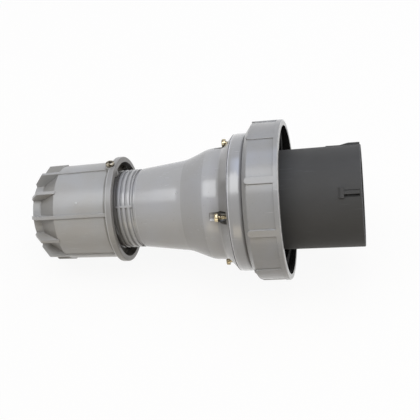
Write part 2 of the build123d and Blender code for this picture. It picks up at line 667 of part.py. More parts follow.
def contact(radius, reach, terminal, y, z, angle, screw_radius):
    """One contact: pin, its thicker shank in the block and the bored terminal barrel behind."""
    bore = terminal - TERMINAL_WALL
    shank = radius + PIN_SHANK_STEP
    tip = BLOCK_FACE + reach
    point = radius * PIN_POINT
    body = Pos(0, y, z) * turned([
        (BLOCK_BACK - TERMINAL_LENGTH, bore),
        (BLOCK_BACK - TERMINAL_LENGTH, terminal),
        (BLOCK_BACK, terminal),
        (BLOCK_BACK, shank),
        (BLOCK_FACE, shank),
        (BLOCK_FACE + PIN_SHANK_STEP, radius),
        (tip - point, radius),
        (tip, radius - point),
        (tip, 0),
        (BLOCK_BACK - TERMINAL_FLOOR, 0),
        (BLOCK_BACK - TERMINAL_FLOOR, bore),
    ])
    for station in terminal_screw_stations():
        hole = Pos(BLOCK_BACK - station, 0, terminal) * Cylinder(
            screw_radius + SCREW_CLEARANCE, 2 * (TERMINAL_WALL + TERMINAL_SCREW_PROUD)
        )
        body -= Pos(0, y, z) * turn(hole, angle)
    return body


def terminal_screws(terminal, y, z, angle, screw_radius):
    """The clamping screws of one contact, as separate solids."""
    low = terminal - TERMINAL_WALL - TERMINAL_SCREW_PROUD
    high = terminal + TERMINAL_SCREW_PROUD
    screw = Pos(0, 0, (low + high) / 2) * Cylinder(screw_radius, high - low)
    return [Pos(0, y, z) * turn(Pos(BLOCK_BACK - station, 0, 0) * screw, angle)
            for station in terminal_screw_stations()]


def make_parts():
    """Every node's solids, along the X axis."""
    parts = {
        "cable_housing": [cable_housing()],
        "gland_nut": [gland_nut()],
        "nut_lock_screw": [nut_lock_screw()],
        "thrust_ring": [thrust_ring()],
        "cable_seal": [cable_seal()],
        "housing_gasket": [housing_gasket()],
        "front_flange": [front_flange()],
        "locking_ring": [locking_ring()],
        "pin_shroud": [pin_shroud()],
        "shroud_screws": shroud_screws(),
        "face_seal": [face_seal()],
        "contact_block": [contact_block()],
    }
    for i, standoff in enumerate(SCREW_STANDOFFS):
        parts[f"flange_screw_{i + 1}"] = [turn(flange_screw(standoff), SCREW_TURN + 360.0 * i / SCREW_COUNT)]
    for name, radius, reach, terminal, y, z, angle in contact_places():
        screw_radius = PILOT_SCREW_RADIUS if name == "pilot_pin" else TERMINAL_SCREW_RADIUS
        parts[name] = [contact(radius, reach, terminal, y, z, angle, screw_radius)]
        parts[name + "_screws"] = terminal_screws(terminal, y, z, angle, screw_radius)
    return parts


def solids_of(shapes):
    """The solids in a list of shapes, one by one."""
    return [solid for shape in shapes for solid in shape.solids()]


def at_rest(parts):
    """Tip every piece to the rest position, with the base's centre at the origin."""
    tipped = {name: [Rot(Y=-REST_TILT) * s for s in solids_of(shapes)] for name, shapes in parts.items()}
    box = Compound([s for solids in tipped.values() for s in solids]).bounding_box()
    shift = Pos(-box.center().X, -box.center().Y, -box.min.Z)
    print("rest tilt", round(REST_TILT, 4), "shift", shift.position, "size", box.size)
    return {name: [shift * s for s in solids] for name, solids in tipped.items()}


def main():
    os.makedirs("parts", exist_ok=True)
    for name, solids in at_rest(make_parts()).items():
        shape = solids[0] if len(solids) == 1 else Compound(solids)
        export_step(shape, f"parts/{name}.step")


main()
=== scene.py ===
"""Looks for a round watertight industrial plug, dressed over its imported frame."""

import json
import logging
import math
from dataclasses import dataclass
from enum import Enum
from typing import Optional, Sequence

import bpy
from bpy.types import Material, Node, NodeSocket, NodeTree, Object
from mathutils import Matrix, Vector


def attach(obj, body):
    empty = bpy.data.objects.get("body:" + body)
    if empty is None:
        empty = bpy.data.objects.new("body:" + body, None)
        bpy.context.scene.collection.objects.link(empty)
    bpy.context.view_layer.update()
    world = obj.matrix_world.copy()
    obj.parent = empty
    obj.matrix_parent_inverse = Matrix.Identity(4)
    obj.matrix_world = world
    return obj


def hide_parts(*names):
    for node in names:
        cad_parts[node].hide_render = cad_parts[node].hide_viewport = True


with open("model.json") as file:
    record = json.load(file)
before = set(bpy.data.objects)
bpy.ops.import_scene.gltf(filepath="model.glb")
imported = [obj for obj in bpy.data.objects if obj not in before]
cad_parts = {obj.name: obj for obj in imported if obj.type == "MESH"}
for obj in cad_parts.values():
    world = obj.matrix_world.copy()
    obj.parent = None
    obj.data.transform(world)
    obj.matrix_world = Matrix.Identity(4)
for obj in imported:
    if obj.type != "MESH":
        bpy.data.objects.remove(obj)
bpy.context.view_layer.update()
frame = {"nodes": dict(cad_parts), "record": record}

log = logging.getLogger("plug")

Colour = tuple[float, float, float]

MM = 0.001


class Body(str, Enum):
    """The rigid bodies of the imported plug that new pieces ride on."""

    PLUG = "plug_body"
    NUT = "gland_nut"


class Slot(str, Enum):
    """The record's material slots."""

    HOUSING = "housing_grey"
    NUT = "nut_grey"
    FLANGE = "flange_grey"
    RING = "ring_grey"
    SHROUD = "shroud_dark"
    BLOCK = "block_black"
    GLAND = "gland_plastic"
    RUBBER = "black_rubber"
    CONTACT = "contact_brass"
    SCREW_BRASS = "screw_brass"
    SCREW_STEEL = "screw_steel"


class Drive(Enum):
    """The driving recess in a screw's head."""

    SLOT = "slot"
    CROSS = "cross"


class End(Enum):
    """The two flat ends of a bar that stands along Z."""

    TOP = 1.0
    BOTTOM = -1.0


@dataclass(frozen=True)
class PlugSpace:
    """The plug's own frame: x along its axis from the nut's rear end, in millimetres.

    Turning angles count about the axis, from the top at 0 towards the near side at 90.
    """

    origin: Vector
    tilt: float

    @classmethod
    def from_record(cls, record: dict, ring_rear: float) -> "PlugSpace":
        """The frame read from the ring's hinge.

        Args:
            record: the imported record.
            ring_rear: how far the ring's hinge point lies from the nut's rear end.

        Returns:
            The plug's own frame in the row frame.
        """
        hinge = next(j for j in record["behaviour"]["joints"] if j["name"] == "ring_turn")
        axis = Vector(hinge["axis"]).normalized()
        origin = Vector(hinge["pos_m"]) - axis * ring_rear * MM
        return cls(origin, math.atan2(axis.z, axis.x))

    def matrix(self) -> Matrix:
        """The change from the plug's millimetres to the row frame's metres."""
        turn = Matrix.Rotation(-self.tilt, 4, "Y")
        return Matrix.Translation(self.origin) @ turn @ Matrix.Scale(MM, 4)

    def axis(self) -> Vector:
        """The direction from the cable end to the pins."""
        return Vector((math.cos(self.tilt), 0.0, math.sin(self.tilt)))

    def spoke(self, turn: float) -> Vector:
        """The outward direction at a turning angle in degrees, in the row frame."""
        angle = math.radians(turn)
        return Matrix.Rotation(-self.tilt, 3, "Y") @ Vector((0.0, -math.sin(angle), math.cos(angle)))

    def station(self, along: float) -> Vector:
        """The point of the axis at some millimetres from the nut's rear end, in the row frame."""
        return self.origin + self.axis() * along * MM


# NEAR_TURN is the turning angle that faces the camera.
SPACE = PlugSpace.from_record(frame["record"], ring_rear=185.8)
NEAR_TURN = 31.0
SCREW_CIRCLE = 50.8
SCREW_TURNS = (44.0, 134.0, 224.0, 314.0)


@dataclass(frozen=True)
class PhotoCamera:
    """The camera that sees the plug as the photograph does.

    The plug's axis leans towards the viewer by `lean` and rises in the picture by `rise`, both in
    degrees. `rear_point` is the middle of the nut's rear end as the camera has it, in millimetres
    to the right, up and backwards.
    """

    focal_px: float = 780.0
    frame_px: float = 420.0
    sensor_mm: float = 36.0
    lean: float = 12.02
    rise: float = 3.19
    rear_point: tuple[float, float, float] = (-144.545, -2.973, -693.356)
    nearest_m: float = 0.01
    farthest_m: float = 20.0

    def place(self, space: PlugSpace) -> None:
        """Adds the camera and makes it the scene's camera.

        Args:
            space: the plug's own frame.
        """
        lean, rise = math.radians(self.lean), math.radians(self.rise)
        across = math.cos(lean)
        seen_axis = Vector((across * math.cos(rise), across * math.sin(rise), math.sin(lean)))
        viewer = Vector((0.0, 0.0, 1.0))
        seen_near = (viewer - seen_axis * seen_axis.dot(viewer)).normalized()
        seen = Matrix((seen_axis, seen_near, seen_axis.cross(seen_near)))
        axis, near = space.axis(), space.spoke(NEAR_TURN)
        turn = Matrix((axis, near, axis.cross(near))).transposed() @ seen
        place = space.origin - turn @ (Vector(self.rear_point) * MM)
        data = bpy.data.cameras.new("photo_camera")
        data.sensor_width = self.sensor_mm
        data.sensor_fit = "HORIZONTAL"
        data.lens = self.focal_px * self.sensor_mm / self.frame_px
        data.clip_start = self.nearest_m
        data.clip_end = self.farthest_m
        camera = bpy.data.objects.new("photo_camera", data)
        camera.matrix_world = Matrix.Translation(place) @ turn.to_4x4()
        bpy.context.scene.collection.objects.link(camera)
        bpy.context.scene.camera = camera


@dataclass(frozen=True)
class Lamp:
    """A soft rectangular lamp that looks at a point on the plug's axis.

    It stands at the turning angle `turn`, set off towards the pins by `lean` degrees. Its width
    runs along the plug. Width, height and distance are metres, `along` is millimetres.
    """

    name: str
    turn: float
    lean: float
    width: float
    height: float
    power: float
    colour: Colour
    along: float = 140.0
    distance: float = 1.1

    def place(self, space: PlugSpace) -> None:
        """Adds the lamp, facing the plug's axis.

        Args:
            space: the plug's own frame.
        """
        data = bpy.data.lights.new(self.name, "AREA")
        data.shape = "RECTANGLE"
        data.size = self.width
        data.size_y = self.height
        data.energy = self.power
        data.color = self.colour
        lamp = bpy.data.objects.new(self.name, data)
        lean = math.radians(self.lean)
        back = space.spoke(self.turn) * math.cos(lean) + space.axis() * math.sin(lean)
        place = space.station(self.along) + back * self.distance
        up = back.cross(space.axis()).normalized()
        across = up.cross(back)
        turn = Matrix((across, up, back)).transposed()
        lamp.matrix_world = Matrix.Translation(place) @ turn.to_4x4()
        bpy.context.scene.collection.objects.link(lamp)


class Nodes:
    """A material's or group's node tree, with short calls to add and join nodes."""

    def __init__(self, tree: NodeTree) -> None:
        """Starts on a node tree."""
        self.tree = tree

    def add(self, kind: str, inputs: Optional[dict] = None, **settings: object) -> Node:
        """Adds a node.

        Args:
            kind: the node's type name.
            inputs: what its inputs are fed with, by label or by number.
            settings: attributes to set on it first.

        Returns:
            The new node.
        """
        node = self.tree.nodes.new(kind)
        for name, value in settings.items():
            setattr(node, name, value)
        self.feed(node, inputs or {})
        return node

    def put(self, socket: NodeSocket, value: object) -> None:
        """Feeds an input.

        Args:
            socket: the input.
            value: another node's output, or a number, colour or vector.
        """
        if isinstance(value, NodeSocket):
            self.tree.links.new(value, socket)
        elif socket.type == "RGBA":
            socket.default_value = (*value, 1.0)
        else:
            socket.default_value = value

    def feed(self, node: Node, inputs: dict) -> None:
        """Feeds several inputs of a node, by label or by number."""
        for key, value in inputs.items():
            self.put(node.inputs[key], value)

    def group(self, tree: NodeTree, inputs: Optional[dict] = None) -> Node:
        """Places a shared effect with its own values."""
        return self.add("ShaderNodeGroup", inputs, node_tree=tree)

    def math(self, operation: str, *values: object, clamp: bool = False) -> NodeSocket:
        """A Math node on sockets or plain numbers.

        Args:
            operation: the Math node's operation.
            values: sockets or numbers for its inputs.
            clamp: whether the result stays between 0 and 1.

        Returns:
            The result's socket.
        """
        inputs = dict(enumerate(values))
        return self.add("ShaderNodeMath", inputs, operation=operation, use_clamp=clamp).outputs[0]

    def vector(self, operation: str, first: object, second: object) -> NodeSocket:
        """A Vector Math node on two vectors.

        Args:
            operation: the Vector Math node's operation.
            first: a socket or vector.
            second: a socket or vector.

        Returns:
            The socket of the number or vector that comes out.
        """
        node = self.add("ShaderNodeVectorMath", {0: first, 1: second}, operation=operation)
        return node.outputs["Value" if operation in ("DISTANCE", "DOT_PRODUCT") else "Vector"]

    def blend(self, factor: object, first: object, second: object) -> NodeSocket:
        """Mixes two colours.

        Args:
            factor: a socket or number from 0 to 1.
            first: a socket or colour where the factor is 0.
            second: a socket or colour where the factor is 1.

        Returns:
            The mixed colour's socket.
        """
        # A colour mix takes its colours at inputs 6 and 7 and gives the result at output 2.
        return self.add("ShaderNodeMix", {0: factor, 6: first, 7: second}, data_type="RGBA").outputs[2]

    def noise(self, place: NodeSocket, scale: float, detail: float) -> NodeSocket:
        """A Noise texture's value at a place.

        Args:
            place: the coordinates' socket.
            scale: cells per unit of the coordinates.
            detail: the number of finer octaves.

        Returns:
            The value's socket.
        """
        inputs = {"Vector": place, "Scale": scale, "Detail": detail}
        return self.add("ShaderNodeTexNoise", inputs).outputs[0]

    def length(self, first: object, second: object) -> NodeSocket:
        """The length of two steps at right angles.

        Args:
            first: one step's socket.
            second: the other step's socket.

        Returns:
            The length's socket.
        """
        squares = [self.math("MULTIPLY", step, step) for step in (first, second)]
        return self.math("SQRT", self.math("ADD", *squares))

    def above(self, value: object, level: float, soft: float) -> NodeSocket:
        """A mask that is 1 where a value lies above a number.

        Args:
            value: the value's socket.
            level: where the mask has risen halfway.
            soft: the width of its slope.

        Returns:
            The mask's socket.
        """
        rise = self.math("SUBTRACT", value, level - soft / 2)
        return self.math("DIVIDE", rise, soft, clamp=True)

    def window(self, value: object, low: float, high: float, soft: float) -> NodeSocket:
        """A mask that is 1 where a value lies between two numbers, with soft ends.

        Args:
            value: the value's socket.
            low: where the mask has risen halfway.
            high: where the mask has fallen halfway.
            soft: the width of each slope.

        Returns:
            The mask's socket.
        """
        rise = self.above(value, low, soft)
        fall = self.math("DIVIDE", self.math("SUBTRACT", high + soft / 2, value), soft, clamp=True)
        return self.math("MULTIPLY", rise, fall)

    def bump(self, height: NodeSocket, strength: float, depth: float,
             normal: Optional[NodeSocket] = None) -> NodeSocket:
        """Relief on a surface.

        Args:
            height: the height's socket.
            strength: how much of the relief shows, from 0 to 1.
            depth: how many millimetres a height of 1 stands out.
            normal: the normal that it starts from, where that isn't the mesh's own.

        Returns:
            The normal's socket.
        """
        inputs = {"Height": height, "Strength": strength, "Distance": depth * MM}
        if normal is not None:
            inputs["Normal"] = normal
        return self.add("ShaderNodeBump", inputs).outputs[0]


class ShaderGroups:
    """The effects that several finishes share, each built once."""

    def __init__(self, space: PlugSpace) -> None:
        """Builds every group.

        Args:
            space: the plug's own frame.
        """
        self.place = self._place_group(space)
        self.grain = self._grain_group()
        self.edge = self._edge_group()
        self.scuffs = self._scuff_group()
        self.pockets = self._pocket_group()

    @staticmethod
    def _new(name: str, inputs: Sequence[str], outputs: Sequence[str]) -> tuple:
        """An empty group, whose socket called Place is a vector and whose others are numbers.

        Args:
            name: the group's name.
            inputs: the labels of its inputs.
            outputs: the labels of its outputs.

        Returns:
            The group's tree, its node helper, and its input and output nodes.
        """
        tree = bpy.data.node_groups.new(name, "ShaderNodeTree")
        for way, labels in (("INPUT", inputs), ("OUTPUT", outputs)):
            for label in labels:
                kind = "NodeSocketVector" if label == "Place" else "NodeSocketFloat"
                tree.interface.new_socket(name=label, in_out=way, socket_type=kind)
        nodes = Nodes(tree)
        return tree, nodes, nodes.add("NodeGroupInput"), nodes.add("NodeGroupOutput")

    def _place_group(self, space: PlugSpace) -> NodeTree:
        """Where a surface point lies on the plug: as a vector, along the axis and from the axis.

        Args:
            space: the plug's own frame.

        Returns:
            The group's tree.
        """
        tree, nodes, _, result = self._new("plug_place", [], ["Place", "Along", "Radius"])
        place = nodes.add("ShaderNodeMapping", {
            "Vector": nodes.add("ShaderNodeTexCoord").outputs["Object"], "Location": space.origin,
            "Rotation": (0.0, -space.tilt, 0.0), "Scale": (MM, MM, MM),
        }, vector_type="TEXTURE").outputs[0]
        along, across, up = nodes.add("ShaderNodeSeparateXYZ", {0: place}).outputs
        nodes.feed(result, {"Place": place, "Along": along, "Radius": nodes.length(across, up)})
        return tree

    def _grain_group(self) -> NodeTree:
        """The fine spark-eroded grain of a moulded surface, and its cloudy variation in tone.

        Returns:
            The group's tree.
        """
        tree, nodes, given, result = self._new("moulded_grain", ["Place", "Coarse"], ["Height", "Cloud"])
        fine_scale, pit_scale, cloud_scale = 2.2, 0.8, 0.035
        fine_height, pit_height, fine_tone = 0.7, 0.3, 0.15
        place = given.outputs["Place"]
        scaled = nodes.vector("DIVIDE", place, given.outputs["Coarse"])
        fine = nodes.noise(scaled, fine_scale, 2.0)
        pits = nodes.noise(scaled, pit_scale, 1.0)
        nodes.feed(result, {
            "Height": nodes.math("ADD", nodes.math("MULTIPLY", fine, fine_height),
                                 nodes.math("MULTIPLY", pits, pit_height)),
            "Cloud": nodes.math("ADD", nodes.noise(place, cloud_scale, 3.0),
                                nodes.math("MULTIPLY", fine, fine_tone)),
        })
        return tree

    def _edge_group(self) -> NodeTree:
        """How near a point is to a turned edge, broken up like wear: where the edge is painted lighter
        as a highlight.

        Returns:
            The group's tree.
        """
        inputs = ["Place", "Along", "Radius", "Edge Along", "Edge Radius", "Width"]
        tree, nodes, given, result = self._new("turned_edge", inputs, ["Wear And Highlight"])
        full_edge_mark, patch_scale, patch_share = 1.35, 0.22, 0.9
        away = nodes.math("SUBTRACT", given.outputs["Along"], given.outputs["Edge Along"])
        out = nodes.math("SUBTRACT", given.outputs["Radius"], given.outputs["Edge Radius"])
        near = nodes.math("DIVIDE", nodes.length(away, out), given.outputs["Width"])
        patches = nodes.noise(given.outputs["Place"], patch_scale, 4.0)
        left = nodes.math("SUBTRACT", full_edge_mark, near)
        missing = nodes.math("MULTIPLY", patches, patch_share)
        nodes.feed(result, {"Wear And Highlight": nodes.math("SUBTRACT", left, missing, clamp=True)})
        return tree

    def _scuff_group(self) -> NodeTree:
        """Faint hairline scuffs and specks of dust from handling.

        Returns:
            The group's tree.
        """
        tree, nodes, given, result = self._new("handling_scuffs", ["Place"], ["Scuffs", "Specks"])
        patch_scale, speck_scale = 0.03, 0.9
        place = given.outputs["Place"]
        stretched = nodes.add("ShaderNodeMapping", {
            "Vector": place, "Rotation": (0.35, 0.6, 0.2), "Scale": (0.05, 0.9, 0.9),
        })
        lines = nodes.above(nodes.noise(stretched.outputs[0], 1.0, 4.0), level=0.66, soft=0.04)
        patches = nodes.above(nodes.noise(place, patch_scale, 2.0), level=0.55, soft=0.1)
        specks = nodes.above(nodes.noise(place, speck_scale, 1.0), level=0.745, soft=0.03)
        nodes.feed(result, {"Scuffs": nodes.math("MULTIPLY", lines, patches), "Specks": specks})
        return tree

    def _pocket_group(self) -> NodeTree:
        """Masks of painted shade: one on the walls and floors of the four screw pockets, and one round
        them.

        Returns:
            The group's tree.
        """
        tree, nodes, given, result = self._new(
            "screw_pockets", ["Place", "Along", "Reach", "Halo Reach"], ["Pocket", "Shade Halo"]
        )
        wall_slope = 6.0
        flat = nodes.vector("MULTIPLY", given.outputs["Place"], (0.0, 1.0, 1.0))
        nearest = None
        for turn in SCREW_TURNS:
            angle = math.radians(turn)
            screw = (0.0, -math.sin(angle) * SCREW_CIRCLE, math.cos(angle) * SCREW_CIRCLE)
            distance = nodes.vector("DISTANCE", flat, screw)
            nearest = distance if nearest is None else nodes.math("MINIMUM", nearest, distance)
        inside = nodes.math("SUBTRACT", given.outputs["Reach"], nearest)
        wall = nodes.math("MULTIPLY", inside, wall_slope, clamp=True)
        walls = nodes.window(given.outputs["Along"], low=158.6, high=180.0, soft=3.6)
        share = nodes.math("DIVIDE", nearest, given.outputs["Halo Reach"])
        spread = nodes.math("SUBTRACT", 1.0, share, clamp=True)
        # painted shade round each screw, fading away from it
        halo_span = nodes.window(given.outputs["Along"], low=157.0, high=190.0, soft=7.0)
        nodes.feed(result, {
            "Pocket": nodes.math("MULTIPLY", wall, walls),
            "Shade Halo": nodes.math("MULTIPLY", spread, halo_span),
        })
        return tree


class Surface(Nodes):
    """The nodes of a finish's material, which know where each point lies on the plug."""

    def __init__(self, name: str, groups: ShaderGroups) -> None:
        """Starts a material with its shader.

        Args:
            name: the material's name.
            groups: the shared effects.
        """
        self.material = bpy.data.materials.new(name)
        self.material.use_nodes = True
        super().__init__(self.material.node_tree)
        self.shader = self.tree.nodes["Principled BSDF"]
        self.groups = groups
        self.place, self.along, self.radius = self.group(groups.place).outputs


@dataclass(frozen=True)
class TurnedEdge:
    """An edge of a turned form painted lighter: a painted highlight, broken up like rubbed wear."""

    along: float
    radius: float
    width: float


@dataclass(frozen=True)
class ShadeBand:
    """A band of painted shade, in hollows and on faces turned from the light: between two stations and
    two radii.

    `depth` is how much of the shade colour shows. The radii grow by `slope` for each millimetre from the
    start, and the ends fade over `soft`.
    """

    start: float
    end: float
    low: float
    high: float
    depth: float
    slope: float = 0.0
    soft: float = 0.4
    radial_soft: float = 0.3

    def mask(self, nodes: Surface) -> NodeSocket:
        """How much painted shade a point gets.

        Args:
            nodes: the material's nodes.

        Returns:
            The mask's socket.
        """
        along = nodes.window(nodes.along, self.start, self.end, self.soft)
        rise = nodes.math("MULTIPLY", nodes.math("SUBTRACT", nodes.along, self.start), self.slope)
        level = nodes.math("SUBTRACT", nodes.radius, rise)
        radius = nodes.window(level, self.low, self.high, self.radial_soft)
        return nodes.math("MULTIPLY", nodes.math("MULTIPLY", along, radius), self.depth)


@dataclass(frozen=True)
class Crown:
    """A band whose surface swells gently across its width."""

    middle: float
    half_width: float
    height: float


@dataclass(frozen=True)
class Finish:
    """What every finish has: its material's name, and how the material is built."""

    name: str

    def build(self, groups: ShaderGroups) -> Material:
        """The finish as a material.

        Args:
            groups: the shared effects.

        Returns:
            The material, on Object coordinates.
        """
        nodes = Surface(self.name, groups)
        nodes.feed(nodes.shader, self.inputs(nodes))
        return nodes.material

    def inputs(self, nodes: Surface) -> dict[str, object]:
        """What the shader is fed with, by label, which each kind of finish tells."""
        raise NotImplementedError


@dataclass(frozen=True)
class PlasticFinish(Finish):
    """A moulded thermoplastic with its own grain, tone variation, scuffs and dust, painted highlights on
    worn edges, and painted shade.
    """

    colour: Colour
    warm: Colour
    # the third colour is the lighter tone of the scuffs and of the painted edge highlights
    rubbed_and_highlit: Colour
    # the fourth colour is both the dust specks' colour and the colour of the painted shade
    grime_and_shade: Colour
    roughness: float
    coarse: float
    bump: float
    specular: float = 0.5
    coat: float = 0.0
    coat_roughness: float = 0.2
    edges: tuple[TurnedEdge, ...] = ()
    shade_bands: tuple[ShadeBand, ...] = ()
    # the two pocket values set how much painted shade lies in the screw pockets and round them
    pocket_shade: float = 0.0
    pocket_reach: float = 5.3
    pocket_halo_shade: float = 0.35
    halo_reach: float = 15.0
    scuffs: float = 0.35
    dust: float = 0.25
    cloud_gloss: float = 0.08
    rubbed_gloss: float = -0.06
    grain_depth: float = 0.05
    soft_edge: float = 0.35
    crown: Optional[Crown] = None

    def inputs(self, nodes: Surface) -> dict[str, object]:
        """What the shader is fed with.

        Args:
            nodes: the material's nodes.

        Returns:
            The shader's inputs by label.
        """
        grain = nodes.group(nodes.groups.grain, {"Place": nodes.place, "Coarse": self.coarse})
        marks = nodes.group(nodes.groups.scuffs, {"Place": nodes.place})
        cloud = nodes.above(grain.outputs["Cloud"], level=0.5, soft=0.35)
        colour = nodes.blend(cloud, self.colour, self.warm)
        # painted shade: the colour darkens towards the fourth colour in each shade band and in and round
        # the screw pockets
        for mask in self._shaded(nodes):
            colour = nodes.blend(mask, colour, self.grime_and_shade)
        # painted highlight: turned edges lighter, broken up like wear, together with the real scuffs
        rubbed_and_highlit = self._rubbed_and_highlit(nodes, marks.outputs["Scuffs"])
        colour = nodes.blend(rubbed_and_highlit, colour, self.rubbed_and_highlit)
        dust = nodes.math("MULTIPLY", marks.outputs["Specks"], self.dust)
        tone = nodes.math("MULTIPLY", grain.outputs["Cloud"], self.cloud_gloss)
        gloss = nodes.math("ADD", self.roughness, tone)
        polish = nodes.math("MULTIPLY", rubbed_and_highlit, self.rubbed_gloss)
        return {
            "Base Color": nodes.blend(dust, colour, self.grime_and_shade),
            "Roughness": nodes.math("ADD", gloss, polish, clamp=True),
            "Normal": self._relief(nodes, grain.outputs["Height"]),
            "Specular IOR Level": self.specular,
            "Coat Weight": self.coat,
            "Coat Roughness": self.coat_roughness,
        }

    def _shaded(self, nodes: Surface) -> list[NodeSocket]:
        """Where painted shade lies: a mask for each shade band, and two for the screw pockets.

        Args:
            nodes: the material's nodes.

        Returns:
            The masks' sockets.
        """
        masks = [recess.mask(nodes) for recess in self.shade_bands]
        if self.pocket_shade:
            pockets = nodes.group(nodes.groups.pockets, {
                "Place": nodes.place, "Along": nodes.along,
                "Reach": self.pocket_reach, "Halo Reach": self.halo_reach,
            })
            masks.append(nodes.math("MULTIPLY", pockets.outputs["Shade Halo"], self.pocket_halo_shade))
            masks.append(nodes.math("MULTIPLY", pockets.outputs["Pocket"], self.pocket_shade))
        return masks

    def _rubbed_and_highlit(self, nodes: Surface, scuffs: NodeSocket) -> NodeSocket:
        """Where scuffs have left the plastic lighter, and where turned edges are painted lighter as
        highlights broken up like wear.

        Args:
            nodes: the material's nodes.
            scuffs: the scuffs' mask.

        Returns:
            The mask's socket.
        """
        rubbed_and_highlit = nodes.math("MULTIPLY", scuffs, self.scuffs)
        for edge in self.edges:
            edge_mark = nodes.group(nodes.groups.edge, {
                "Place": nodes.place, "Along": nodes.along, "Radius": nodes.radius,
                "Edge Along": edge.along, "Edge Radius": edge.radius, "Width": edge.width,
            })
            rubbed_and_highlit = nodes.math("MAXIMUM", rubbed_and_highlit, edge_mark.outputs["Wear And Highlight"])
        return rubbed_and_highlit

    def _relief(self, nodes: Surface, grain: NodeSocket) -> NodeSocket:
        """The softened corners, the crown where there is one, and the grain.

        Args:
            nodes: the material's nodes.
            grain: the grain's height.

        Returns:
            The normal's socket.
        """
        normal = nodes.add("ShaderNodeBevel", {"Radius": self.soft_edge * MM}, samples=6).outputs[0]
        if self.crown:
            away = nodes.math("SUBTRACT", nodes.along, self.crown.middle)
            share = nodes.math("DIVIDE", away, self.crown.half_width)
            dome = nodes.math("SUBTRACT", 1.0, nodes.math("MULTIPLY", share, share))
            normal = nodes.bump(dome, 1.0, self.crown.height, normal)
        return nodes.bump(grain, self.bump, self.grain_depth, normal)


@dataclass(frozen=True)
class MetalFinish(Finish):
    """A plated or turned metal with tarnish that gathers in patches."""

    colour: Colour
    tarnish: Colour
    roughness: float
    patch_scale: float
    turned_lines: float = 0.0
    patch_level: float = 0.54
    patch_soft: float = 0.3
    patch_rough: float = 0.18
    grain_scale: float = 6.0
    line_scale: float = 14.0
    bump: float = 0.25
    grain_depth: float = 0.03

    def inputs(self, nodes: Surface) -> dict[str, object]:
        """What the shader is fed with.

        Args:
            nodes: the material's nodes.

        Returns:
            The shader's inputs by label.
        """
        speckle = nodes.noise(nodes.place, self.patch_scale, 4.0)
        patches = nodes.above(speckle, self.patch_level, self.patch_soft)
        grain = nodes.noise(nodes.place, self.grain_scale, 2.0)
        rings = nodes.math("SINE", nodes.math("MULTIPLY", nodes.along, self.line_scale))
        height = nodes.math("ADD", grain, nodes.math("MULTIPLY", rings, self.turned_lines))
        dulled = nodes.math("MULTIPLY", patches, self.patch_rough)
        return {
            "Metallic": 1.0,
            "Base Color": nodes.blend(patches, self.colour, self.tarnish),
            "Roughness": nodes.math("ADD", self.roughness, dulled),
            "Normal": nodes.bump(height, self.bump, self.grain_depth),
        }


@dataclass(frozen=True)
class RubberFinish(Finish):
    """Black moulded rubber with a fine bloom."""

    colour: Colour
    bloom: Colour
    roughness: float
    specular: float = 0.4
    coarse: float = 0.7
    bloom_rough: float = 0.12
    bump: float = 0.4
    grain_depth: float = 0.06

    def inputs(self, nodes: Surface) -> dict[str, object]:
        """What the shader is fed with.

        Args:
            nodes: the material's nodes.

        Returns:
            The shader's inputs by label.
        """
        grain = nodes.group(nodes.groups.grain, {"Place": nodes.place, "Coarse": self.coarse})
        cloud = nodes.above(grain.outputs["Cloud"], level=0.55, soft=0.3)
        dulled = nodes.math("MULTIPLY", cloud, self.bloom_rough)
        return {
            "Specular IOR Level": self.specular,
            "Base Color": nodes.blend(cloud, self.colour, self.bloom),
            "Roughness": nodes.math("ADD", self.roughness, dulled),
            "Normal": nodes.bump(grain.outputs["Height"], self.bump, self.grain_depth),
        }


